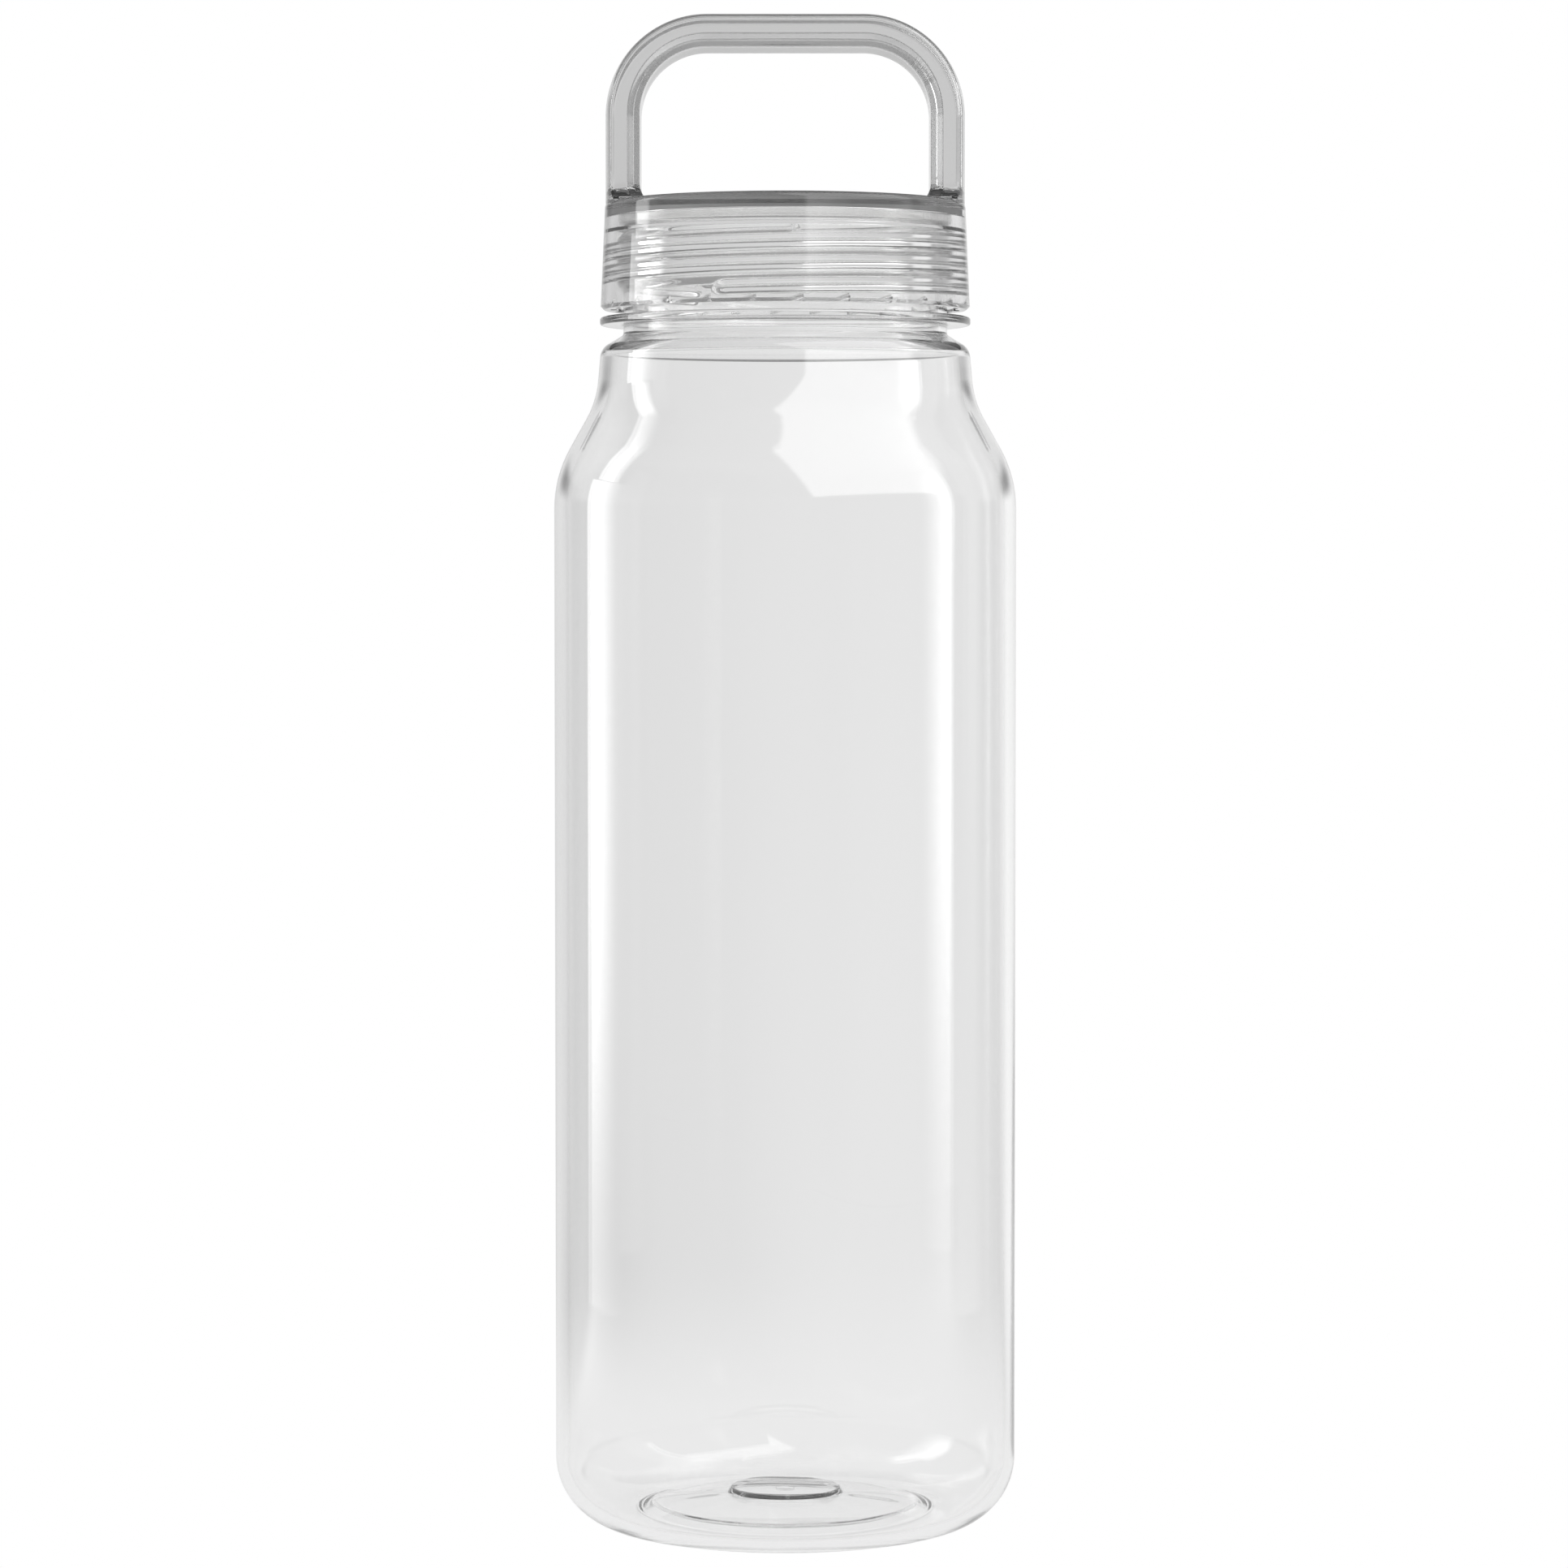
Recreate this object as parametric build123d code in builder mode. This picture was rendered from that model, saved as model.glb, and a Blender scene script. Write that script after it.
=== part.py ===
"""Clear one-litre water bottle: a blown bottle, a screw lid with a moulded-in carrying loop, and its seal ring.

Frame: millimetres, +Z up, origin on the bottle's axis at the plane it stands on.
The carrying loop lies in the XZ plane, and -Y is the front.
"""

from build123d import *

import os
from math import cos, radians, sin, tan

# ---------------------------------------------------------------- driving dimensions
# Body of the bottle
BODY_R = 41.0  # outer radius of the straight wall
WALL = 2.0
SHOULDER_Z = 186.7  # where the wall and the shoulder's slope would meet in a corner
SHOULDER_SLOPE = 29.2  # degrees from vertical
SHOULDER_ROUND = 21.9
WAIST_Z = 200.1  # where the slope and the collar would meet
WAIST_ROUND = 16.8
COLLAR_SLOPE = 5.1  # degrees from vertical
COLLAR_Z = 209.37  # the collar's top corner
COLLAR_ROUND = 3.0
TOP_SLOPE = 31.0  # degrees from horizontal, from the collar in to the neck

# Foot: a standing ring, with the floor pushed up inside it
HEEL_ROUND = 12.2
RING_IN_R = 25.6
RING_STEP_R = 24.6
RING_STEP_Z = 1.5
RING_ROUND = 0.6
PUSH_UP = 3.7
FLOOR_T = 1.9
DISC_R = 10.3  # thicker disc in the middle of the floor
DISC_T = 0.8
DISC_BEVEL = 0.6
GATE_R = 1.7  # nub that the moulding gate leaves
GATE_DROP = 0.4

# Neck
NECK_R = 28.7
BORE_R = 27.1
LIP_Z = 230.5
LIP_ROUND = 0.5
FLANGE_R = 32.85
FLANGE_Z = 213.45
FLANGE_T = 1.4
FLANGE_ROUND = 0.45

# Screw thread, right-handed, the same pitch on both parts
PITCH = 3.8
RIDGE = 1.05  # height of a ridge
RIDGE_ROOT = 2.3  # width of a ridge at its foot
RIDGE_CREST = 0.85
RIDGE_SINK = 0.5  # how deep a ridge's foot is sunk into its wall
THREAD_GAP = 0.4  # from a crest to the other part's wall
TURNS = 2.4
LID_THREAD_Z = 218.9  # centre of the lid ridge's lower end
LID_THREAD_AT = 249.4  # degrees from +X
NECK_THREAD_AT = 127.0

# Lid
LID_Z = 216.2  # lower edge of the skirt
LID_TOP = 235.1
PLATE_T = 2.6
SKIRT_FOOT_R = 32.7
SKIRT_TOP_R = 31.9
TOP_ROUND = 1.0
FOOT_CHAMFER = 0.6
SEAT_R = 29.6  # the seal's seat, above the thread
SEAT_Z = 230.1
SEAT_STEP = 0.6
INNER_ROUND = 0.3
STOPS = 24  # moulding stops round the inside of the skirt's lower edge
STOP_L = 3.0
STOP_H = 1.1
STOP_DEPTH = 0.8

# Carrying loop
LOOP_TOP = 268.3
LOOP_HALF = 31.8
LOOP_ROUND = 18.0
BAR_T = 6.2
BAR_DEPTH = 17.0
BAR_OUT_ROUND = 0.9
BAR_IN_ROUND = 2.3
FOOT_ROUND = 2.2  # the loop's feet flare out onto the lid

# Seal ring
SEAL_OUT_R = 29.4
SEAL_IN_R = 25.5
SEAL_GAP = 0.05
SEAL_ROUND = 0.5

# ---------------------------------------------------------------- worked out from them
SLOPE = tan(radians(SHOULDER_SLOPE))
DRAFT = tan(radians(COLLAR_SLOPE))
RISE = tan(radians(TOP_SLOPE))
LID_ROOT_R = NECK_R + RIDGE + THREAD_GAP
SEAT_TOP = LID_TOP - PLATE_T
NECK_THREAD_Z = LID_THREAD_Z + ((NECK_THREAD_AT - LID_THREAD_AT) / 360 + 0.5) * PITCH  # midway between lid turns


def corners(inset, neck_r):
    """The body wall's corners from the shoulder up to the neck, moved in from the outer face by inset."""
    slope_back = inset / cos(radians(SHOULDER_SLOPE))
    draft_back = inset / cos(radians(COLLAR_SLOPE))
    top_back = inset / cos(radians(TOP_SLOPE))
    waist_r = BODY_R - (WAIST_Z - SHOULDER_Z) * SLOPE
    collar_r = waist_r - (COLLAR_Z - WAIST_Z) * DRAFT
    wall = (BODY_R - inset, SHOULDER_Z + (inset - slope_back) / SLOPE)
    waist_z = WAIST_Z + (draft_back - slope_back) / (SLOPE - DRAFT)
    waist = (waist_r - draft_back - (waist_z - WAIST_Z) * DRAFT, waist_z)
    collar_drop = (top_back - draft_back * RISE) / (1 - DRAFT * RISE)
    collar = (collar_r - draft_back + collar_drop * DRAFT, COLLAR_Z - collar_drop)
    neck = (neck_r, COLLAR_Z - top_back + (collar_r - neck_r) * RISE)
    return wall, waist, collar, neck


def near(sketch, point):
    """The sketch's vertex nearest to a point of its outline."""
    return sketch.vertices().sort_by_distance(Vector(*point))[0]


def ridge(wall_r, lift, first_z):
    """A thread ridge with round ends, starting over +X, on a wall of radius wall_r.

    lift is RIDGE for a ridge that stands outwards, and -RIDGE for one that stands inwards.
    """
    side = 1 if lift > 0 else -1
    foot = RIDGE_ROOT / 2 + RIDGE_SINK * (RIDGE_ROOT - RIDGE_CREST) / 2 / RIDGE
    foot_r = wall_r - side * RIDGE_SINK
    crest_r = wall_r + lift
    half = ((foot_r, 0), (foot_r, foot), (crest_r, RIDGE_CREST / 2), (crest_r, 0))
    with BuildPart() as turn:
        with BuildLine(Plane.XY.offset(first_z)) as path:
            Helix(PITCH, TURNS * PITCH, wall_r)
        with BuildSketch(Plane((0, 0, first_z), x_dir=(1, 0, 0), z_dir=(0, -1, 0))):
            with BuildLine():
                Polyline(*half, close=True)
            make_face()
            mirror(about=Plane.XZ)
        sweep(path=path.line, is_frenet=True)
        for turns, half_turn in ((0, 180), (TURNS, -180)):
            at = radians(360 * turns)
            out = Vector(cos(at), sin(at), 0)
            end = Plane((0, 0, first_z + turns * PITCH), x_dir=out, z_dir=(sin(at), -cos(at), 0))
            with BuildSketch(end):
                with BuildLine():
                    Polyline(*half, close=True)
                make_face()
            revolve(axis=Axis(end.origin, out), revolution_arc=half_turn)
    return turn.part


def flare(plane, side):
    """Section of a loop foot, from a bar face at the given distance from the plane's origin out onto the lid."""
    out = side + FOOT_ROUND
    up = LID_TOP + FOOT_ROUND
    to_arc = FOOT_ROUND * sin(radians(45))
    with BuildSketch(plane) as outline:
        with BuildLine():
            Polyline((side, up), (0, up), (0, bar_foot), (out, bar_foot), (out, LID_TOP))
            ThreePointArc((out, LID_TOP), (out - to_arc, up - to_arc), (side, up))
        make_face()
    return outline.sketch


# ---------------------------------------------------------------- bottle
outer = corners(0, NECK_R)
inner = corners(WALL, BORE_R)
heel_in = (BODY_R - WALL, WALL)
floor_z = PUSH_UP + FLOOR_T
step_in = (RING_STEP_R - WALL / 2, RING_STEP_Z + FLOOR_T)

with BuildPart() as bottle_body:
    with BuildSketch(Plane.XZ) as wall_section:
        with BuildLine():
            Polyline(
                (0, PUSH_UP - GATE_DROP),
                (GATE_R, PUSH_UP - GATE_DROP),
                (GATE_R, PUSH_UP),
            )
            TangentArc((GATE_R, PUSH_UP), (RING_STEP_R, RING_STEP_Z), tangent=(1, 0))
            Polyline(
                (RING_STEP_R, RING_STEP_Z),
                (RING_IN_R, 0),
                (BODY_R, 0),
                *outer,
                (NECK_R, LIP_Z),
                (BORE_R, LIP_Z),
                *reversed(inner),
                heel_in,
                (RING_IN_R + WALL / 2, WALL),
                step_in,
            )
            TangentArc((DISC_R, floor_z), step_in, tangent=(1, 0))
            Polyline(
                (DISC_R, floor_z),
                (DISC_R - DISC_BEVEL, floor_z + DISC_T),
                (0, floor_z + DISC_T),
                (0, PUSH_UP - GATE_DROP),
            )
        make_face()
        rounds = (
            ((BODY_R, 0), HEEL_ROUND),
            (heel_in, HEEL_ROUND - WALL),
            ((RING_IN_R, 0), RING_ROUND),
            ((RING_IN_R + WALL / 2, WALL), WALL),
            (step_in, RING_ROUND),
            (outer[0], SHOULDER_ROUND),
            (inner[0], SHOULDER_ROUND - WALL),
            (outer[1], WAIST_ROUND),
            (inner[1], WAIST_ROUND + WALL),
            (outer[2], COLLAR_ROUND),
            (inner[2], INNER_ROUND),
            (outer[3], RING_ROUND),
            (inner[3], RING_ROUND),
            ((NECK_R, LIP_Z), LIP_ROUND),
            ((BORE_R, LIP_Z), LIP_ROUND),
        )
        for point, radius in rounds:
            fillet(near(wall_section, point), radius)
    revolve(axis=Axis.Z)
    with BuildSketch(Plane.XZ) as flange_section:
        with BuildLine():
            Polyline(
                (NECK_R - RIDGE_SINK, FLANGE_Z),
                (FLANGE_R, FLANGE_Z),
                (FLANGE_R, FLANGE_Z + FLANGE_T),
                (NECK_R - RIDGE_SINK, FLANGE_Z + FLANGE_T),
                close=True,
            )
        make_face()
        fillet(flange_section.vertices().group_by(Axis.X)[-1], FLANGE_ROUND)
    revolve(axis=Axis.Z)
    add(ridge(NECK_R, RIDGE, NECK_THREAD_Z), rotation=(0, 0, NECK_THREAD_AT))
bottle_body.part.label = "bottle_body"

# ---------------------------------------------------------------- lid
bar_foot = (LID_TOP + SEAT_TOP) / 2
round_x = LOOP_HALF - BAR_T + BAR_IN_ROUND  # axis of the rounds along the bar's inner edges
round_y = BAR_DEPTH / 2 - BAR_IN_ROUND

with BuildPart() as stop:
    with BuildSketch(Plane.YZ.offset(LID_ROOT_R - STOP_DEPTH)):
        with BuildLine():
            Polyline((0, LID_Z - STOP_H), (STOP_L, LID_Z - STOP_H), (STOP_L, LID_Z + STOP_H), (0, LID_Z), close=True)
        make_face()
    extrude(amount=2 * STOP_DEPTH)

with BuildPart() as feet:
    extrude(flare(Plane.YZ.offset(round_x), BAR_DEPTH / 2), amount=LOOP_HALF - round_x)
    inward = Plane((round_x, 0, 0), x_dir=(-1, 0, 0), z_dir=(0, 1, 0))
    extrude(flare(inward, BAR_IN_ROUND), amount=round_y, both=True)
    corner = Plane((round_x, round_y, 0), x_dir=(-1, 0, 0), z_dir=(0, 1, 0))
    revolve(flare(corner, BAR_IN_ROUND), axis=Axis(corner.origin, (0, 0, 1)))
    mirror(about=Plane.XZ)
    mirror(about=Plane.YZ)
    with Locations((0, 0, LID_TOP)):
        Cylinder(LOOP_HALF, LID_TOP, mode=Mode.INTERSECT)

with BuildPart() as lid:
    with BuildSketch(Plane.XZ) as lid_section:
        with BuildLine():
            Polyline(
                (0, LID_TOP),
                (SKIRT_TOP_R, LID_TOP),
                (SKIRT_FOOT_R, LID_Z + FOOT_CHAMFER),
                (SKIRT_FOOT_R - FOOT_CHAMFER, LID_Z),
                (LID_ROOT_R, LID_Z),
                (LID_ROOT_R, SEAT_Z - SEAT_STEP),
                (SEAT_R, SEAT_Z),
                (SEAT_R, SEAT_TOP),
                (0, SEAT_TOP),
                close=True,
            )
        make_face()
        fillet(near(lid_section, (SKIRT_TOP_R, LID_TOP)), TOP_ROUND)
        fillet(near(lid_section, (SEAT_R, SEAT_TOP)), INNER_ROUND)
        fillet(near(lid_section, (LID_ROOT_R, LID_Z)), INNER_ROUND)
    revolve(axis=Axis.Z)
    with PolarLocations(0, STOPS):
        add(stop.part, mode=Mode.SUBTRACT)
    add(ridge(LID_ROOT_R, -RIDGE, LID_THREAD_Z), rotation=(0, 0, LID_THREAD_AT))
    with BuildLine(Plane.XZ) as loop_path:
        Polyline((LOOP_HALF, bar_foot), (LOOP_HALF, LOOP_TOP), (-LOOP_HALF, LOOP_TOP), (-LOOP_HALF, bar_foot))
        fillet(loop_path.vertices().group_by(Axis.Z)[-1], LOOP_ROUND)
    with BuildSketch(Plane.XY.offset(bar_foot)) as bar_section:
        with Locations((LOOP_HALF - BAR_T / 2, 0)):
            Rectangle(BAR_T, BAR_DEPTH)
        Circle(LOOP_HALF, mode=Mode.INTERSECT)
        fillet(bar_section.vertices().group_by(Axis.X)[0], BAR_IN_ROUND)
        fillet(bar_section.vertices().group_by(Axis.X)[-1], BAR_OUT_ROUND)
    sweep(path=loop_path.line)
    add(feet.part)
lid.part.label = "lid"

# ---------------------------------------------------------------- seal ring
with BuildPart() as sealing_gasket:
    with BuildSketch(Plane.XZ) as seal_section:
        with BuildLine():
            Polyline(
                (SEAL_IN_R, LIP_Z + SEAL_GAP),
                (SEAL_OUT_R, LIP_Z + SEAL_GAP),
                (SEAL_OUT_R, SEAT_TOP - SEAL_GAP),
                (SEAL_IN_R, SEAT_TOP - SEAL_GAP),
                close=True,
            )
        make_face()
        fillet(seal_section.vertices(), SEAL_ROUND)
    revolve(axis=Axis.Z)
sealing_gasket.part.label = "sealing_gasket"

# ---------------------------------------------------------------- files
os.makedirs("parts", exist_ok=True)
for piece in (bottle_body, lid, sealing_gasket):
    export_step(piece.part, f"parts/{piece.part.label}.step")
    print(piece.part.label, round(piece.part.volume), "mm3")
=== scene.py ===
from math import acos, ceil, cos, degrees, pi, radians, sin, tan

import bmesh
import bpy
import numpy as np
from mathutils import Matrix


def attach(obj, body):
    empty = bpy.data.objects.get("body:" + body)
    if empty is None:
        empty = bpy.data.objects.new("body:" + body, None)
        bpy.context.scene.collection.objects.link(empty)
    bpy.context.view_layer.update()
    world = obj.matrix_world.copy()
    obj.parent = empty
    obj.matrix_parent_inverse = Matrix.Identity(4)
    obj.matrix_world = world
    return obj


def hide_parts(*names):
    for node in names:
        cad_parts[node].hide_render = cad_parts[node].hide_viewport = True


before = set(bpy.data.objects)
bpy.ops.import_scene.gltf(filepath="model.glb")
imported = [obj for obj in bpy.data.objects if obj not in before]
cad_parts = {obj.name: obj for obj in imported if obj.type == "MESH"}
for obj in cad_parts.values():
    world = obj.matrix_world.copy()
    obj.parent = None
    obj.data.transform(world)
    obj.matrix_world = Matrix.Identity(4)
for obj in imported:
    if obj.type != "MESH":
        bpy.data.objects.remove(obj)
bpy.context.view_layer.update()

MM = 0.001

# ------------------------------------------------------------ sizes, in millimetres, as the CAD has them
BODY_R, WALL = 41.0, 2.0
SHOULDER_Z, SHOULDER_SLOPE, SHOULDER_ROUND = 186.7, 29.2, 21.9
WAIST_Z, WAIST_ROUND = 200.1, 16.8
COLLAR_Z, COLLAR_SLOPE, COLLAR_ROUND = 209.37, 5.1, 3.0
TOP_SLOPE = 31.0
HEEL_ROUND = 12.2
RING_IN_R, RING_STEP_R, RING_STEP_Z = 25.6, 24.6, 1.5
PUSH_UP, FLOOR_T = 3.7, 1.9
DISC_R, DISC_T, DISC_BEVEL = 10.3, 0.8, 0.6
GATE_R, GATE_DROP = 1.7, 0.4
NECK_R, BORE_R, NECK_ROUND, LIP_Z, LIP_ROUND = 28.7, 27.1, 0.6, 230.5, 0.5
FLANGE_R, FLANGE_Z, FLANGE_T, FLANGE_ROUND = 32.85, 213.45, 1.4, 0.45
PITCH, RIDGE, RIDGE_ROOT, RIDGE_CREST, TURNS = 3.8, 1.05, 2.3, 0.85, 2.4
THREAD_GAP = 0.4
LID_THREAD_Z, LID_THREAD_AT, NECK_THREAD_AT = 218.9, 249.4, 127.0
LID_Z, LID_TOP, PLATE_T = 216.2, 235.1, 2.6
SKIRT_FOOT_R, SKIRT_TOP_R, TOP_ROUND, FOOT_CHAMFER = 32.7, 31.9, 1.0, 0.6
SEAT_R, SEAT_Z, SEAT_STEP = 29.6, 230.1, 0.6
STOPS, STOP_L, STOP_H, STOP_DEPTH = 24, 3.0, 1.1, 0.8
LOOP_TOP, LOOP_HALF, LOOP_ROUND = 268.3, 31.8, 18.0
BAR_T, BAR_DEPTH, BAR_IN_ROUND, FOOT_ROUND = 6.2, 17.0, 2.3, 2.2
SEAL_OUT_R, SEAL_IN_R, SEAL_GAP, SEAL_ROUND = 29.4, 25.5, 0.05, 0.5

SLOPE, DRAFT, RISE = (tan(radians(a)) for a in (SHOULDER_SLOPE, COLLAR_SLOPE, TOP_SLOPE))
LID_ROOT_R = NECK_R + RIDGE + THREAD_GAP
STOP_R = LID_ROOT_R + STOP_DEPTH
SEAT_TOP = LID_TOP - PLATE_T
NECK_THREAD_Z = LID_THREAD_Z + ((NECK_THREAD_AT - LID_THREAD_AT) / 360 + 0.5) * PITCH

# ------------------------------------------------------------ sizes that only the visible pieces have
# The standing ring's step is eased inwards and up, and its inner edge outwards. IN_ROUNDs are on the inside.
STEP_EASE, STEP_LIFT, STEP_ROUND, STEP_IN_ROUND = 2.4, 0.35, 1.6, 3.0
STAND_EASE, STAND_ROUND, STAND_IN_ROUND = 0.6, 1.4, 3.5
GATE_ROUND, DISC_ROUND, DISC_LIFT = 0.15, 0.4, 0.1
COLLAR_IN_ROUND, FLANGE_FILLET = 0.12, 0.35
SEAT_TOP_ROUND, SEAT_ROUND, SKIRT_IN_ROUND, SKIRT_FOOT_ROUND, CHAMFER_ROUND = 0.3, 0.15, 0.12, 0.2, 0.05
STOP_LEAN, STOP_REACH = 0.01, 0.5  # lean of the wall behind a stop, and how far above the edge its ramp works
BAR_BEVEL, BAR_EDGE, BEVEL_EDGE = 1.12 * BAR_IN_ROUND, 0.6, 0.7  # a softened bevel where the CAD has a round
FOOT_TALL, FOOT_SUNK, FOOT_START = 3.2, 1.5, 0.4  # the loop's feet start inside the plate

# Waves that blowing leaves inside the bottle, each as its count round the axis and its phase. Those of the wall
# fade below the shoulder; those of the heel are strongest at HEEL_WAVE_Z and stay clear of the wall.
RIPPLE = 0.035
WALL_WAVES, WALL_WAVE_L, WALL_FADE = ((3, 0.4), (5, 2.1), (8, 4.0), (13, 5.2)), 60.0, 20.0
HEEL_WAVES, HEEL_WAVE_L = ((4, 1.0), (7, 3.3), (11, 5.1), (17, 0.7)), 40 / 9
HEEL_WAVE_Z, HEEL_WAVE_H, HEEL_CLEAR = 4.0, 6.0, 1.0

COLUMNS = 384  # steps round the axis
FINE = 0.08  # mesh step along the axis where there is a thread
BY_THREAD = 0.1  # how near to a thread's wall the mesh is that fine
COARSE_BODY, COARSE_LID, COARSE_BAR = 3.0, 4.0, 1.2  # longest mesh steps elsewhere
STOP_EDGE = 4e-4  # half the angle between the two columns at a stop's upright face, in radians
SHARP = 35  # edges that turn by more degrees than this stay sharp
NEAR = 1e-6  # closer than this is the same place


# ------------------------------------------------------------ mesh helpers
def rounded(corners, step=6.0):
    """Points along an outline given as (r, z, round) corners, its rounds in steps of so many degrees."""
    points = []
    for i, (r, z, radius) in enumerate(corners):
        here = np.array((r, z), float)
        if not radius or i in (0, len(corners) - 1):
            points.append(here)
            continue
        back = np.array(corners[i - 1][:2]) - here
        on = np.array(corners[i + 1][:2]) - here
        back, on = back / np.linalg.norm(back), on / np.linalg.norm(on)
        half = acos(np.clip(back @ on, -1, 1)) / 2
        centre = here + (back + on) / np.linalg.norm(back + on) * radius / sin(half)
        first = here + back * radius / tan(half) - centre
        last = here + on * radius / tan(half) - centre
        turn = (pi - 2 * half) * np.sign(first[0] * last[1] - first[1] * last[0])
        count = ceil(degrees(abs(turn)) / step)
        for k in range(count + 1):
            c, s = cos(turn * k / count), sin(turn * k / count)
            points.append(centre + np.array((first[0] * c - first[1] * s, first[0] * s + first[1] * c)))
    return points


def divided(points, length):
    """The outline with its long stretches divided; length(r, z) is the longest step allowed there."""
    out = [points[0]]
    for a, b in zip(points, points[1:]):
        count = max(1, ceil(np.linalg.norm(b - a) / length(*(a + b) / 2)))
        out += [a + (b - a) * k / count for k in range(1, count + 1)]
    return np.array(out)


def shade(mesh):
    mesh.shade_smooth()
    mesh.set_sharp_from_angle(angle=radians(SHARP))


def new_object(name, vertices, faces):
    mesh = bpy.data.meshes.new(name)
    mesh.from_pydata((np.asarray(vertices) * MM).tolist(), [], faces)
    mesh.validate()
    shade(mesh)
    obj = bpy.data.objects.new(name, mesh)
    bpy.context.scene.collection.objects.link(obj)
    return obj


def turned(name, outline, shape=None, at=None):
    """A closed body turned from an outline that runs from the axis to the axis, or right round.

    shape(r, z, at) may move the points, and at gives the angles of the columns in radians.
    """
    at = np.linspace(0, 2 * pi, COLUMNS, endpoint=False) if at is None else at
    columns = len(at)
    tipped = outline[0][0] < NEAR
    rings = outline[1:-1] if tipped else outline
    r, a = np.meshgrid(rings[:, 0], at, indexing="ij")
    z = np.repeat(rings[:, 1:], columns, axis=1)
    if shape:
        r, z = shape(r.copy(), z.copy(), a)
    vertices = np.stack((r * np.cos(a), r * np.sin(a), z), -1).reshape(-1, 3)
    faces = []
    for i in range(len(rings) - 1 if tipped else len(rings)):
        low, high = i * columns, (i + 1) % len(rings) * columns
        for j in range(columns):
            k = (j + 1) % columns
            faces.append((low + j, low + k, high + k, high + j))
    if tipped:
        foot, top = len(vertices), len(vertices) + 1
        vertices = np.vstack((vertices, (0, 0, outline[0][1]), (0, 0, outline[-1][1])))
        end = (len(rings) - 1) * columns
        for j in range(columns):
            k = (j + 1) % columns
            faces.append((foot, k, j))
            faces.append((top, end + j, end + k))
    return new_object(name, vertices, faces)


def outward(obj):
    """Turns every face to look outwards."""
    bm = bmesh.new()
    bm.from_mesh(obj.data)
    bmesh.ops.recalc_face_normals(bm, faces=bm.faces)
    bm.to_mesh(obj.data)
    bm.free()


def ridge_height(at, z, wall_r, first_z, first_at):
    """How far a thread ridge stands off its wall at each angle and height, with rounded edges and ends."""
    nearest = np.full(at.shape, 1e9)
    for lap in range(-1, ceil(TURNS) + 1):
        turns = (at - radians(first_at)) / (2 * pi) + lap
        held = np.clip(turns, 0, TURNS)
        along = (turns - held) * 2 * pi * wall_r
        nearest = np.minimum(nearest, np.hypot(along, z - first_z - held * PITCH))
    foot = (RIDGE_ROOT + RIDGE_CREST) / 2
    return RIDGE * (0.5 + 0.5 * np.cos(pi * np.clip(nearest / foot, 0, 1)))


# ------------------------------------------------------------ bottle
def wall_corners(inset, neck_r):
    """The body wall's corners from the shoulder up to the neck, moved in from the outer face by inset."""
    slopes = SHOULDER_SLOPE, COLLAR_SLOPE, TOP_SLOPE
    slope_back, draft_back, top_back = (inset / cos(radians(a)) for a in slopes)
    waist_r = BODY_R - (WAIST_Z - SHOULDER_Z) * SLOPE
    collar_r = waist_r - (COLLAR_Z - WAIST_Z) * DRAFT
    waist_z = WAIST_Z + (draft_back - slope_back) / (SLOPE - DRAFT)
    drop = (top_back - draft_back * RISE) / (1 - DRAFT * RISE)
    return (
        (BODY_R - inset, SHOULDER_Z + (inset - slope_back) / SLOPE),
        (waist_r - draft_back - (waist_z - WAIST_Z) * DRAFT, waist_z),
        (collar_r - draft_back + drop * DRAFT, COLLAR_Z - drop),
        (neck_r, COLLAR_Z - top_back + (collar_r - neck_r) * RISE),
    )


def fall(r_from, z_from, r_to, z_to, count=12):
    """Points of a shallow arc that is level at its first end."""
    radius = ((r_to - r_from) ** 2 + (z_to - z_from) ** 2) / (2 * (z_from - z_to))
    steps = np.linspace(r_from, r_to, count + 1)
    return [np.array((r, z_from - radius + np.sqrt(radius**2 - (r - r_from) ** 2))) for r in steps]


def wave(at, place, waves, reach):
    """A slow ripple round the axis, between about -1 and 1, that shifts along place over lengths of reach."""
    parts = [np.sin(count * at + phase + 0.6 * np.sin(place / reach + phase)) for count, phase in waves]
    return sum(parts) / len(parts)


def bottle_shape(r, z, at):
    """Adds the thread, and the slight unevenness that blowing leaves inside."""
    neck = (np.abs(r - NECK_R) < NEAR) & (z > FLANGE_Z + FLANGE_T) & (z < LIP_Z - LIP_ROUND + NEAR)
    lift = ridge_height(at, z, NECK_R, NECK_THREAD_Z, NECK_THREAD_AT)
    inside = (r < BODY_R - WALL + NEAR) & (z > WALL - NEAR) & (z < SHOULDER_Z)
    wall = inside & (z > HEEL_ROUND)
    wall_fade = np.clip((SHOULDER_Z - z) / WALL_FADE, 0, 1)
    wall_wave = RIPPLE * wave(at, z, WALL_WAVES, WALL_WAVE_L) * wall_fade
    floor = inside & (r < BODY_R - WALL - HEEL_CLEAR) & (z < HEEL_ROUND)
    heel_fade = np.exp(-(((z - HEEL_WAVE_Z) / HEEL_WAVE_H) ** 2)) * np.clip(r / DISC_R - 1, 0, 1)
    heel_wave = RIPPLE * wave(at, r, HEEL_WAVES, HEEL_WAVE_L) * heel_fade
    return np.where(neck, r + lift, np.where(wall, r + wall_wave, r)), np.where(floor, z + heel_wave, z)


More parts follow.
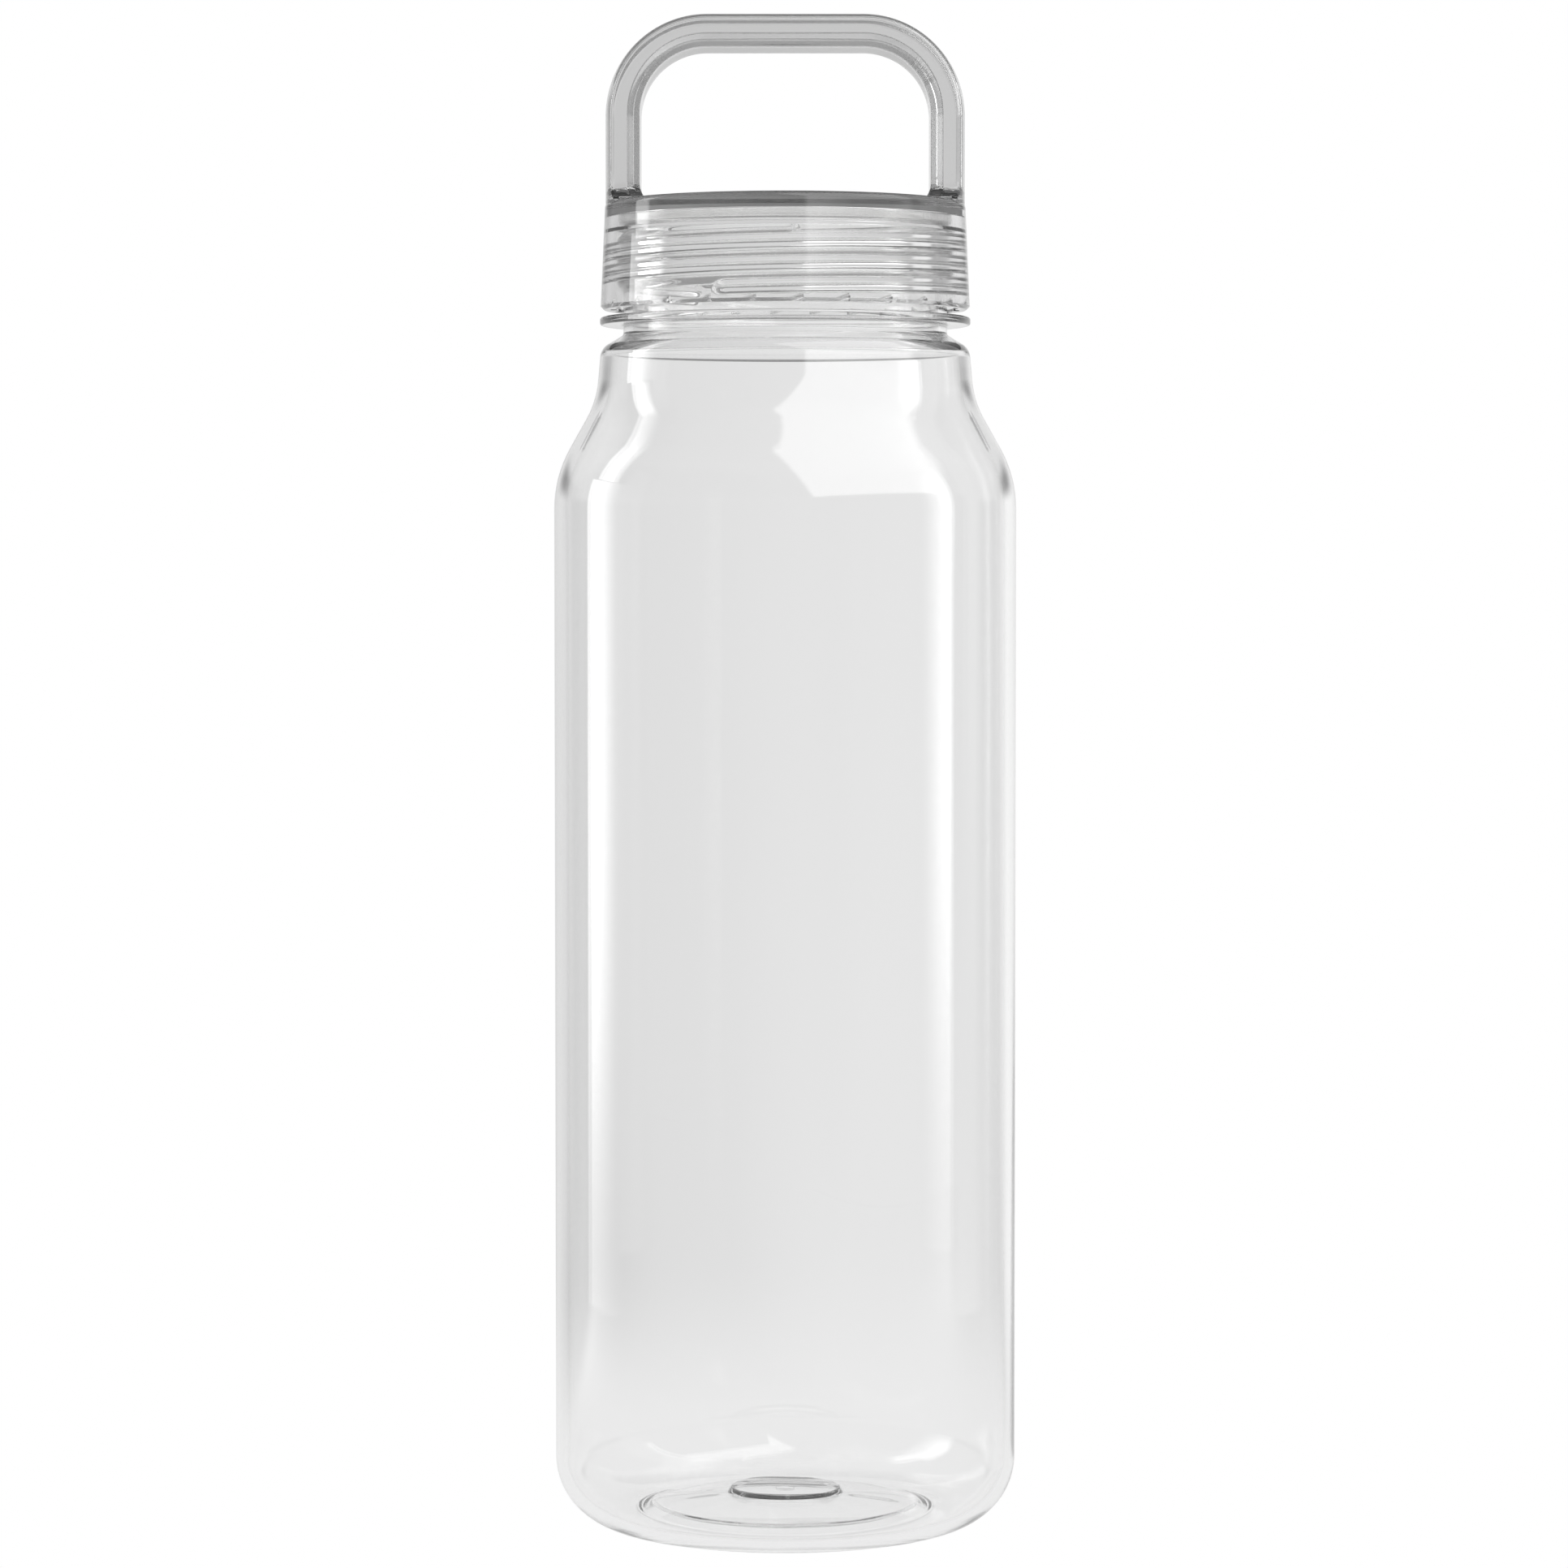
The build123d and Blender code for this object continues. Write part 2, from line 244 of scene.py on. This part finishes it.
def make_bottle():
    """The blown bottle: its outline runs from the gate nub under the foot, up outside and down inside."""
    outer, inner = wall_corners(0, NECK_R), wall_corners(WALL, BORE_R)
    step_r, step_z = RING_STEP_R - STEP_EASE, RING_STEP_Z + STEP_LIFT
    gate_z = PUSH_UP - GATE_DROP
    gate = [(0, gate_z, 0), (GATE_R, gate_z, GATE_ROUND), (GATE_R, PUSH_UP, 0)]
    dome = fall(GATE_R, PUSH_UP, step_r, step_z)
    over = [point + (0, FLOOR_T) for point in dome if point[0] > DISC_R]
    ring = [
        (step_r, step_z, 0),
        (RING_STEP_R - STEP_EASE / 2, RING_STEP_Z, STEP_ROUND),
        (RING_IN_R + STAND_EASE, 0, STAND_ROUND),
        (BODY_R, 0, HEEL_ROUND),
        (*outer[0], SHOULDER_ROUND),
        (*outer[1], WAIST_ROUND),
        (*outer[2], COLLAR_ROUND),
        (*outer[3], NECK_ROUND),
        (NECK_R, FLANGE_Z, FLANGE_FILLET),
        (FLANGE_R, FLANGE_Z, FLANGE_ROUND),
        (FLANGE_R, FLANGE_Z + FLANGE_T, FLANGE_ROUND),
        (NECK_R, FLANGE_Z + FLANGE_T, FLANGE_FILLET),
        (NECK_R, LIP_Z, LIP_ROUND),
        (BORE_R, LIP_Z, LIP_ROUND),
        (*inner[3], NECK_ROUND),
        (*inner[2], COLLAR_IN_ROUND),
        (*inner[1], WAIST_ROUND + WALL),
        (*inner[0], SHOULDER_ROUND - WALL),
        (BODY_R - WALL, WALL, HEEL_ROUND - WALL),
        (RING_IN_R + WALL / 2, WALL, STAND_IN_ROUND),
        (RING_STEP_R - WALL / 2, RING_STEP_Z + FLOOR_T, STEP_IN_ROUND),
        (*over[-1], 0),
    ]
    disc_top = PUSH_UP + FLOOR_T + DISC_T
    disc = [
        (DISC_R, over[0][1] + DISC_LIFT, 0),
        (DISC_R - DISC_BEVEL, disc_top, DISC_ROUND),
        (0, disc_top, 0),
    ]
    outline = rounded(gate) + dome[1:-1] + rounded(ring, 4) + over[-2::-1] + rounded(disc)
    fine_z, fine_r = FLANGE_Z + FLANGE_T, NECK_R - BY_THREAD
    outline = divided(outline, lambda r, z: FINE if z > fine_z and r > fine_r else COARSE_BODY)
    return turned("bottle_clear", outline, bottle_shape)


# ------------------------------------------------------------ lid
def lid_columns():
    """Angles of the lid's columns, with a close pair at the upright face of each moulding stop."""
    plain = np.linspace(0, 2 * pi, COLUMNS, endpoint=False)
    faces = STOP_L / LID_ROOT_R + np.arange(STOPS) * 2 * pi / STOPS
    pairs = np.concatenate((faces - STOP_EDGE, faces + STOP_EDGE)) % (2 * pi)
    clear = np.min(np.abs(plain[:, None] - pairs[None]), axis=1) > 5 * STOP_EDGE
    return np.sort(np.concatenate((plain[clear], pairs)))


def lid_shape(r, z, at):
    """Adds the inner thread, and the ramps of the moulding stops in the skirt's lower edge."""
    thread = (np.abs(r - LID_ROOT_R) < NEAR) & (z < SEAT_Z - SEAT_STEP + NEAR) & (z > LID_Z + STOP_H)
    lift = ridge_height(at, z, LID_ROOT_R, LID_THREAD_Z, LID_THREAD_AT)
    along = (at * LID_ROOT_R) % (2 * pi * LID_ROOT_R / STOPS)
    ramp = np.where(along < STOP_L, along / STOP_L, 0) * STOP_H
    cut = (r < STOP_R - STOP_LEAN / 2) & (z < LID_Z + STOP_REACH)
    return np.where(thread, r - lift, r), np.where(cut, z + ramp, z)


def make_shell():
    """The lid's skirt and plate, from the underside of the plate down the inside and up the outside."""
    corners = [
        (0, SEAT_TOP, 0),
        (SEAT_R, SEAT_TOP, SEAT_TOP_ROUND),
        (SEAT_R, SEAT_Z, SEAT_ROUND),
        (LID_ROOT_R, SEAT_Z - SEAT_STEP, SEAT_ROUND),
        (LID_ROOT_R, LID_Z, SKIRT_IN_ROUND),
        (STOP_R - STOP_LEAN, LID_Z, 0),
        (STOP_R, LID_Z, 0),
        (SKIRT_FOOT_R - FOOT_CHAMFER, LID_Z, SKIRT_FOOT_ROUND),
        (SKIRT_FOOT_R, LID_Z + FOOT_CHAMFER, CHAMFER_ROUND),
        (SKIRT_TOP_R, LID_TOP, TOP_ROUND),
        (0, LID_TOP, 0),
    ]
    fine_z, fine_r = LID_Z + STOP_H, LID_ROOT_R + BY_THREAD
    outline = rounded(corners)
    outline = divided(outline, lambda r, z: FINE if fine_z < z < SEAT_Z and r < fine_r else COARSE_LID)
    return turned("lid_clear", outline, lid_shape, lid_columns())


def bar_section():
    """Outline of the loop's bar as (depth in from the outer face, place across), and that outline's normals.

    The outer face is bent to the skirt's curve, and the inner edges are bevelled.
    """
    half = BAR_DEPTH / 2
    side = [(0, half, BAR_EDGE), (BAR_T - BAR_BEVEL, half, BEVEL_EDGE), (BAR_T, half - BAR_BEVEL, BEVEL_EDGE)]
    box = [(0, 0, 0)] + side + [(depth, -across, r) for depth, across, r in reversed(side)] + [(0, 0, 0)]
    points = divided(rounded(box), lambda r, z: COARSE_BAR)[:-1]
    ahead = np.roll(points, -1, axis=0) - np.roll(points, 1, axis=0)
    normals = np.stack((-ahead[:, 1], ahead[:, 0]), -1)
    normals /= np.linalg.norm(normals, axis=1)[:, None]
    points[:, 0] += (LOOP_HALF - np.sqrt(LOOP_HALF**2 - points[:, 1] ** 2)) * (1 - points[:, 0] / BAR_T)
    return points, normals


def loop_stations():
    """Places along the loop's outer face, from foot to foot over the arch: x, z and the way inwards."""
    feet = [LID_TOP - FOOT_SUNK, LID_TOP - FOOT_START]
    feet += [LID_TOP + FOOT_TALL * (1 - cos(radians(a))) for a in range(0, 91, 9)]
    feet += list(np.linspace(LID_TOP + FOOT_TALL, LOOP_TOP - LOOP_ROUND, 6)[1:])
    half = [(LOOP_HALF, z, -1.0, 0.0) for z in feet]
    middle_x, middle_z = LOOP_HALF - LOOP_ROUND, LOOP_TOP - LOOP_ROUND
    for a in np.radians(np.arange(3, 90, 3)):
        half.append((middle_x + LOOP_ROUND * cos(a), middle_z + LOOP_ROUND * sin(a), -cos(a), -sin(a)))
    top = [(x, LOOP_TOP, 0.0, -1.0) for x in np.linspace(middle_x, -middle_x, 9)]
    return half + top + [(-x, z, -in_x, in_z) for x, z, in_x, in_z in reversed(half)]


def make_loop():
    """The carrying loop, swept over its arch, with feet that flare out onto the plate."""
    section, normals = bar_section()
    stations = loop_stations()
    vertices = []
    for x, z, in_x, in_z in stations:
        height = min(max(z - LID_TOP, 0) / FOOT_TALL, 1)
        flare = FOOT_ROUND * (1 - np.sqrt(1 - (1 - height) ** 2))
        depth, across = section[:, 0] + normals[:, 0] * flare, section[:, 1] + normals[:, 1] * flare
        place = np.stack((x + in_x * depth, across, z + in_z * depth), -1)
        spread = np.hypot(place[:, 0], place[:, 1])
        place[:, :2] *= np.minimum(LOOP_HALF / spread, 1)[:, None]
        vertices += list(place)
    count, last = len(section), len(stations) - 1
    faces = []
    for i in range(last):
        for j in range(count):
            k = (j + 1) % count
            faces.append((i * count + j, i * count + k, (i + 1) * count + k, (i + 1) * count + j))
    faces.append(tuple(reversed(range(count))))
    faces.append(tuple(range(last * count, (last + 1) * count)))
    return new_object("lid_loop", vertices, faces)


def make_lid():
    """The lid as one closed mesh: the shell with the loop joined to it."""
    shell, loop = make_shell(), make_loop()
    for part in (shell, loop):
        outward(part)
    join = shell.modifiers.new("join", "BOOLEAN")
    join.operation, join.solver, join.object = "UNION", "EXACT", loop
    graph = bpy.context.evaluated_depsgraph_get()
    mesh = bpy.data.meshes.new_from_object(shell.evaluated_get(graph))
    shell.modifiers.clear()
    shell.data = mesh
    shade(mesh)
    bpy.data.objects.remove(loop)
    return shell


# ------------------------------------------------------------ seal
def make_seal():
    low, high = LIP_Z + SEAL_GAP, SEAT_TOP - SEAL_GAP
    start = (SEAL_IN_R, (low + high) / 2, 0)
    ring = [
        start,
        (SEAL_IN_R, low, SEAL_ROUND),
        (SEAL_OUT_R, low, SEAL_ROUND),
        (SEAL_OUT_R, high, SEAL_ROUND),
        (SEAL_IN_R, high, SEAL_ROUND),
        start,
    ]
    return turned("seal_soft", np.array(rounded(ring, 10)[:-1]))


# ------------------------------------------------------------ node helpers
def calculator(tree):
    """A function that adds a Math node to the tree; its values may be numbers or other nodes' outputs."""
    def calc(operation, *values):
        node = tree.nodes.new("ShaderNodeMath")
        node.operation = operation
        for socket, value in zip(node.inputs, values):
            if isinstance(value, (int, float)):
                socket.default_value = value
            else:
                tree.links.new(value, socket)
        return node.outputs[0]
    return calc


def smooth(tree, value, start, end, low, high):
    """Runs softly from low at start to high at end, and stays level outside them."""
    node = tree.nodes.new("ShaderNodeMapRange")
    node.interpolation_type = "SMOOTHSTEP"
    tree.links.new(value, node.inputs["Value"])
    for name, number in (("From Min", start), ("From Max", end), ("To Min", low), ("To Max", high)):
        node.inputs[name].default_value = number
    return node.outputs["Result"]


def noise(tree, scale, detail=3.0, stretch=(1, 1, 1)):
    """Noise over the object, scale in waves per metre."""
    where = tree.nodes.new("ShaderNodeTexCoord")
    fit = tree.nodes.new("ShaderNodeMapping")
    fit.inputs["Scale"].default_value = stretch
    texture = tree.nodes.new("ShaderNodeTexNoise")
    texture.inputs["Scale"].default_value = scale
    texture.inputs["Detail"].default_value = detail
    tree.links.new(where.outputs["Object"], fit.inputs["Vector"])
    tree.links.new(fit.outputs["Vector"], texture.inputs["Vector"])
    return texture.outputs["Fac"]


def bump(tree, height, strength, distance):
    node = tree.nodes.new("ShaderNodeBump")
    node.inputs["Strength"].default_value = strength
    node.inputs["Distance"].default_value = distance
    tree.links.new(height, node.inputs["Height"])
    return node.outputs["Normal"]


# ------------------------------------------------------------ materials
PLASTIC_IOR, SILICONE_IOR = 1.55, 1.41
EDGE_SHADE_FROM, EDGE_SHADE_TO, FACE_TINT = 0.84, 0.94, 0.99  # how far edge on the painted edge shade sets in, and the tint before it
HAZE_SCALE, HAZE = 45, 0.015  # waves per metre, and the most roughness
FLOW_SCALE, FLOW_STRENGTH, FLOW_HEIGHT = 20, 0.06, 0.0004
MATT_SCALE, MATT = 160, (0.12, 0.2)  # waves per metre, and the least and most roughness
SKIN_SCALE, SKIN_STRENGTH, SKIN_HEIGHT = 900, 0.1, 0.0001


def new_material(name):
    """A new material with its node tree and its Principled shader."""
    mat = bpy.data.materials.new(name)
    mat.use_nodes = True
    return mat, mat.node_tree, mat.node_tree.nodes["Principled BSDF"]


def clear_plastic(name, density, edge_shade, flow=None):
    """Clear moulded plastic with a trace of handling haze.

    density is how strongly a metre of it absorbs, and edge_shade is the colour of the painted shade where the
    surface is seen edge on.
    flow, if given, stretches the slow waves of its surface along x, y and z.
    """
    mat, tree, bsdf = new_material(name)
    # Painted shade: the base colour darkens where the surface is seen edge on, drawing dark outlines along the
    # silhouettes and edges.
    edge = tree.nodes.new("ShaderNodeLayerWeight").outputs["Facing"]
    tint = tree.nodes.new("ShaderNodeCombineColor")
    for socket in tint.inputs[:3]:
        tree.links.new(smooth(tree, edge, EDGE_SHADE_FROM, EDGE_SHADE_TO, FACE_TINT, edge_shade), socket)
    tree.links.new(tint.outputs["Color"], bsdf.inputs["Base Color"])
    bsdf.inputs["Transmission Weight"].default_value = 1.0
    bsdf.inputs["IOR"].default_value = PLASTIC_IOR
    haze = smooth(tree, noise(tree, HAZE_SCALE, 4), 0.45, 0.75, 0.0, HAZE)
    tree.links.new(haze, bsdf.inputs["Roughness"])
    if flow:
        waves = bump(tree, noise(tree, FLOW_SCALE, 1, flow), FLOW_STRENGTH, FLOW_HEIGHT)
        tree.links.new(waves, bsdf.inputs["Normal"])
    volume = tree.nodes.new("ShaderNodeVolumeAbsorption")
    volume.inputs["Color"].default_value = (0.0, 0.0, 0.0, 1)
    volume.inputs["Density"].default_value = density
    tree.links.new(volume.outputs["Volume"], tree.nodes["Material Output"].inputs["Volume"])
    return mat


def silicone(name):
    """Translucent soft seal with a slightly matt skin."""
    mat, tree, bsdf = new_material(name)
    bsdf.inputs["Base Color"].default_value = (0.97, 0.97, 0.965, 1)
    bsdf.inputs["Transmission Weight"].default_value = 1.0
    bsdf.inputs["IOR"].default_value = SILICONE_IOR
    matt = smooth(tree, noise(tree, MATT_SCALE), 0.3, 0.7, *MATT)
    tree.links.new(matt, bsdf.inputs["Roughness"])
    skin = bump(tree, noise(tree, SKIN_SCALE, 2), SKIN_STRENGTH, SKIN_HEIGHT)
    tree.links.new(skin, bsdf.inputs["Normal"])
    return mat


# ------------------------------------------------------------ the object
def finish_piece(obj, mat, node, body):
    """Gives a piece its material, and lets it stand for a CAD node and ride on that node's body."""
    outward(obj)
    obj.data.materials.clear()
    obj.data.materials.append(mat)
    even = obj.modifiers.new("even", "WEIGHTED_NORMAL")
    even.keep_sharp = True
    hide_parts(node)
    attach(obj, body)


# Both plastics get painted shade along their edges, and the lid's is the darker.
body_mat = clear_plastic("clear_body", density=11.0, edge_shade=0.75, flow=(1, 1, 0.25))
lid_mat = clear_plastic("clear_lid", density=24.0, edge_shade=0.6)
seal_mat = silicone("seal_silicone")
bottle, lid, seal = make_bottle(), make_lid(), make_seal()
finish_piece(bottle, body_mat, "bottle_body", "bottle")
finish_piece(lid, lid_mat, "lid", "screw_lid")
finish_piece(seal, seal_mat, "sealing_gasket", "seal")


# ------------------------------------------------------------ studio, in metres
# How bright the room is by compass angle, in degrees to the right from straight behind the bottle as the
# camera sees it: along the white sweep, and just above it, with a dark stretch on each side of the middle.
LOW_ROOM = (
    (-180, 0.8), (-105, 0.74), (-75, 0.44), (-50, 0.48), (-38, 0.7), (-25, 0.81), (-13, 0.75), (-4, 0.79),
    (4, 0.86), (14, 0.91), (27, 1.0), (38, 0.91), (50, 0.53), (75, 0.44), (105, 0.74), (180, 0.8),
)
HIGH_ROOM = (
    (-180, 0.82), (-60, 0.8), (-40, 0.6), (-25, 0.25), (-13, 0.84),
    (13, 0.9), (25, 0.25), (40, 0.6), (60, 0.8), (180, 0.82),
)
TOP_ROOM = 0.78
LOW_TO_HIGH, HIGH_TO_TOP = (2, 6), (7, 11)  # degrees above level over which one brightness runs into the next

FLOOR_HALF, FLOOR_DOWN = 6.0, 0.0002
FLOOR_TONE, FLOOR_FROM, FLOOR_TO = 0.89, 0.08, 0.35  # tone round the foot, and where the room's takes over
HARD = 0.001, 0.001, 0.001, 0.001  # the edges of a panel that doesn't fade

CAMERA_AT, CAMERA_DOWN, CAMERA_LENS = (-0.00022, -0.9, 0.1714), 2.5, 116.14


def compass(tree, place):
    """Compass angle of a place or direction as 0..1, 0.5 straight behind the bottle, and its parts."""
    calc = calculator(tree)
    split = tree.nodes.new("ShaderNodeSeparateXYZ")
    tree.links.new(place, split.inputs[0])
    x, y, z = split.outputs
    return calc("MULTIPLY_ADD", calc("ARCTAN2", x, y), 1 / (2 * pi), 0.5), x, y, z


def tones(tree, angle, stops):
    """The room's brightness at a compass angle."""
    node = tree.nodes.new("ShaderNodeValToRGB")
    ramp = node.color_ramp
    ramp.interpolation = "EASE"
    while len(ramp.elements) < len(stops):
        ramp.elements.new(0.5)
    for element, (degree, _) in zip(ramp.elements, stops):
        element.position = degree / 360 + 0.5
    for element, (_, tone) in zip(ramp.elements, stops):
        element.color = (tone, tone, tone, 1)
    tree.links.new(angle, node.inputs[0])
    return node.outputs["Color"]


def blend(tree, amount, first, second):
    """Mixes two brightnesses, each a number or an output."""
    node = tree.nodes.new("ShaderNodeMix")
    tree.links.new(amount, node.inputs["Factor"])
    for socket, value in zip(node.inputs[2:4], (first, second)):
        if isinstance(value, (int, float)):
            socket.default_value = value
        else:
            tree.links.new(value, socket)
    return node.outputs[0]


def seen_by_camera(tree):
    return tree.nodes.new("ShaderNodeLightPath").outputs["Is Camera Ray"]


def climb(tree, up, start, end):
    """Runs softly from 0 to 1 between two elevations in degrees, for a direction whose upward part is up."""
    return smooth(tree, up, sin(radians(start)), sin(radians(end)), 0, 1)


def make_world():
    """The white room: plain white to the camera, and its tones by direction to everything else."""
    world = bpy.data.worlds.new("studio")
    bpy.context.scene.world = world
    world.use_nodes = True
    tree = world.node_tree
    where = tree.nodes.new("ShaderNodeTexCoord")
    angle, _, _, up = compass(tree, where.outputs["Generated"])
    low, high = tones(tree, angle, LOW_ROOM), tones(tree, angle, HIGH_ROOM)
    room = blend(tree, climb(tree, up, *LOW_TO_HIGH), low, high)
    room = blend(tree, climb(tree, up, *HIGH_TO_TOP), room, TOP_ROOM)
    tree.links.new(blend(tree, seen_by_camera(tree), room, 1.0), tree.nodes["Background"].inputs["Color"])


def rectangle(name, w, h):
    """A flat rectangle of half width w and half height h, and the node tree of its own new material."""
    mesh = bpy.data.meshes.new(name)
    mesh.from_pydata([(-w, -h, 0), (w, -h, 0), (w, h, 0), (-w, h, 0)], [], [(0, 1, 2, 3)])
    obj = bpy.data.objects.new(name, mesh)
    bpy.context.scene.collection.objects.link(obj)
    mat = bpy.data.materials.new(name)
    mat.use_nodes = True
    mesh.materials.append(mat)
    return obj, mat.node_tree


def make_floor():
    """The glowing floor: plain white to the camera, and the low room's tones to everything else."""
    floor, tree = rectangle("floor", FLOOR_HALF, FLOOR_HALF)
    floor.location.z = -FLOOR_DOWN
    calc = calculator(tree)
    where = tree.nodes.new("ShaderNodeTexCoord")
    angle, x, y, _ = compass(tree, where.outputs["Object"])
    away = calc("SQRT", calc("ADD", calc("MULTIPLY", x, x), calc("MULTIPLY", y, y)))
    amount = smooth(tree, away, FLOOR_FROM, FLOOR_TO, 0, 1)
    room = blend(tree, amount, FLOOR_TONE, tones(tree, angle, LOW_ROOM))
    glow = tree.nodes.new("ShaderNodeEmission")
    tree.links.new(blend(tree, seen_by_camera(tree), room, 1.0), glow.inputs["Strength"])
    tree.links.new(glow.outputs[0], tree.nodes["Material Output"].inputs["Surface"])


def soft_box(name, azimuth, height, away, size, strength, fade, tilt=0, low_end=0):
    """A glowing panel that faces the bottle's axis and fades towards its edges; a weak one works as a screen.

    azimuth is in degrees round the bottle from the camera, towards the picture's right. height and away are of
    the panel's middle, and tilt leans its top in towards the bottle. fade is how far in from the left, right,
    lower and upper edges the light grows to its full strength, and low_end is the share at the lower edge.
    """
    a = radians(azimuth)
    w, h = size[0] / 2, size[1] / 2
    panel, tree = rectangle(name, w, h)
    panel.location = (away * sin(a), -away * cos(a), height)
    panel.rotation_euler = (radians(90 - tilt), 0, a)
    panel.visible_camera = False
    calc = calculator(tree)
    split = tree.nodes.new("ShaderNodeSeparateXYZ")
    tree.links.new(tree.nodes.new("ShaderNodeTexCoord").outputs["Object"], split.inputs[0])
    x, y = split.outputs[:2]
    left, right, low, high = fade
    across = calc("MULTIPLY", smooth(tree, x, -w, -w + left, 0, 1), smooth(tree, x, w - right, w, 1, 0))
    upright = calc("MULTIPLY", smooth(tree, y, -h, -h + low, low_end, 1), smooth(tree, y, h - high, h, 1, 0))
    glow = tree.nodes.new("ShaderNodeEmission")
    glow.inputs["Strength"].default_value = strength
    clear = tree.nodes.new("ShaderNodeBsdfTransparent")
    mix = tree.nodes.new("ShaderNodeMixShader")
    tree.links.new(calc("MULTIPLY", across, upright), mix.inputs["Fac"])
    tree.links.new(clear.outputs[0], mix.inputs[1])
    tree.links.new(glow.outputs[0], mix.inputs[2])
    tree.links.new(mix.outputs[0], tree.nodes["Material Output"].inputs["Surface"])


def make_camera():
    data = bpy.data.cameras.new("camera")
    data.lens, data.sensor_width = CAMERA_LENS, 36.0
    data.clip_start, data.clip_end = 0.05, 50
    camera = bpy.data.objects.new("camera", data)
    bpy.context.scene.collection.objects.link(camera)
    camera.location = CAMERA_AT
    camera.rotation_euler = (radians(90 - CAMERA_DOWN), 0, 0)
    bpy.context.scene.camera = camera


make_floor()
make_world()
make_camera()
soft_box("left strip", -96, 0.131, 0.3, (0.15, 0.262), 4.0, (0.01, 0.12, 0.12, 0.002), low_end=0.3)
soft_box("left strip in the floor", -97, 0.001, 0.2, (0.15, 0.2), 1.2, (0.03, 0.12, 0.002, 0.14), tilt=90)
soft_box("right strip", 99, 0.28, 0.3, (0.125, 0.56), 1.05, (0.03, 0.03, 0.2, 0.12), low_end=0.5)
soft_box("front window", 51, 0.97, 0.79, (1.8, 1.36), 2.5, (0.1, 0.25, 0.06, 0.1), tilt=30)
soft_box("dark flag", 180, 0.86, 0.5, (0.7, 1.0), 0.2, HARD)
soft_box("base screen", 51, 0.125, 0.12, (0.2, 0.15), 0.78, HARD)
soft_box("shoulder strip", -98, 0.3655, 0.3, (0.08, 0.207), 4.0, (0.01, 0.02, 0.002, 0.1))

view = bpy.context.scene.view_settings
view.view_transform, view.look = "Standard", "None"
cycles = bpy.context.scene.cycles
cycles.max_bounces, cycles.transmission_bounces, cycles.glossy_bounces = 32, 32, 16
cycles.sample_clamp_indirect = 5.0
